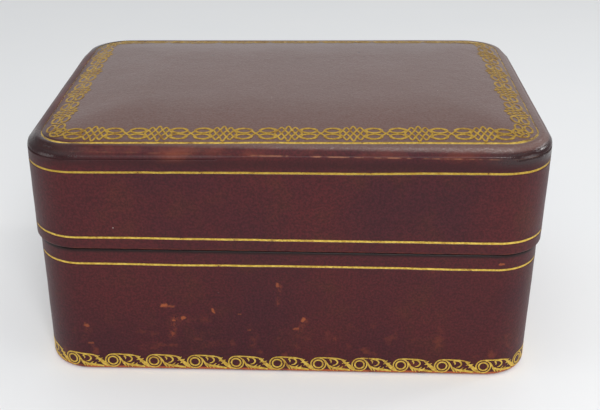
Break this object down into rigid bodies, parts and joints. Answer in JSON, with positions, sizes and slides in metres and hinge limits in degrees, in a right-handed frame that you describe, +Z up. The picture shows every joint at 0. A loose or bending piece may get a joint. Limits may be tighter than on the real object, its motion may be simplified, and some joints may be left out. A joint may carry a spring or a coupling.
{
  "type": "leather jewellery case",
  "caption": "Rectangular leather-covered jewellery case with rounded corners, a padded lid on concealed rear hinges, gilt tooled bands, ring rolls and a lined well.",
  "frame": {"origin": "centre of the underside, on the surface that the case stands on", "axes": "+X along the case's front, towards its right-hand end; +Y towards the hinges; +Z up through the lid"},
  "size_m": [0.127, 0.088, 0.0663],
  "materials": {
    "oxblood_leather": "smooth calf leather dyed oxblood, fine grain, waxed semi-gloss, rubbed browner at the edges",
    "gilt_tooling": "gold leaf pressed into the leather with heated rolls, dull and broken in places",
    "box_wood": "plain pale wood, unfinished, hidden under the leather",
    "lining_card": "grey-brown pasteboard, hidden under the lining",
    "lining_velvet": "short-pile velvet, champagne, soft sheen",
    "lining_silk": "ivory silk, fine weave with a satin sheen",
    "wadding": "cotton wadding, hidden",
    "underside_suede": "dark red-brown flock paper",
    "hinge_brass": "drawn brass, lightly tarnished"
  },
  "bodies": {
    "base": {"base_board": "box_wood", "base_frame": "box_wood", "base_leather": "oxblood_leather", "underside_infill": "lining_card", "underside_sheet": "underside_suede", "collar_card": "lining_card", "collar_velvet": "lining_velvet", "divider": "lining_velvet", "roll_card": "lining_card", "ring_roll_1": "lining_velvet", "ring_roll_2": "lining_velvet", "ring_roll_3": "lining_velvet", "ring_roll_4": "lining_velvet", "ring_roll_5": "lining_velvet", "ring_roll_6": "lining_velvet", "well_pad": "lining_velvet", "hinge_lower_leaf_left": "hinge_brass", "hinge_lower_leaf_right": "hinge_brass", "hinge_pin_left": "hinge_brass", "hinge_pin_right": "hinge_brass", "hinge_tacks_lower": "hinge_brass"},
    "lid": {"lid_frame": "box_wood", "lid_board": "box_wood", "crown_wadding": "wadding", "lid_leather": "oxblood_leather", "lid_lining_card": "lining_card", "lid_wall_silk": "lining_silk", "lid_cushion": "lining_silk", "hinge_upper_leaf_left": "hinge_brass", "hinge_upper_leaf_right": "hinge_brass", "hinge_tacks_upper": "hinge_brass"}
  },
  "joints": [
    {"name": "lid_hinge", "type": "hinge", "parent": "base", "child": "lid", "pos_m": [0, 0.0429, 0.03595], "axis": [-1, 0, 0], "range_deg": [0, 100]}
  ]
}
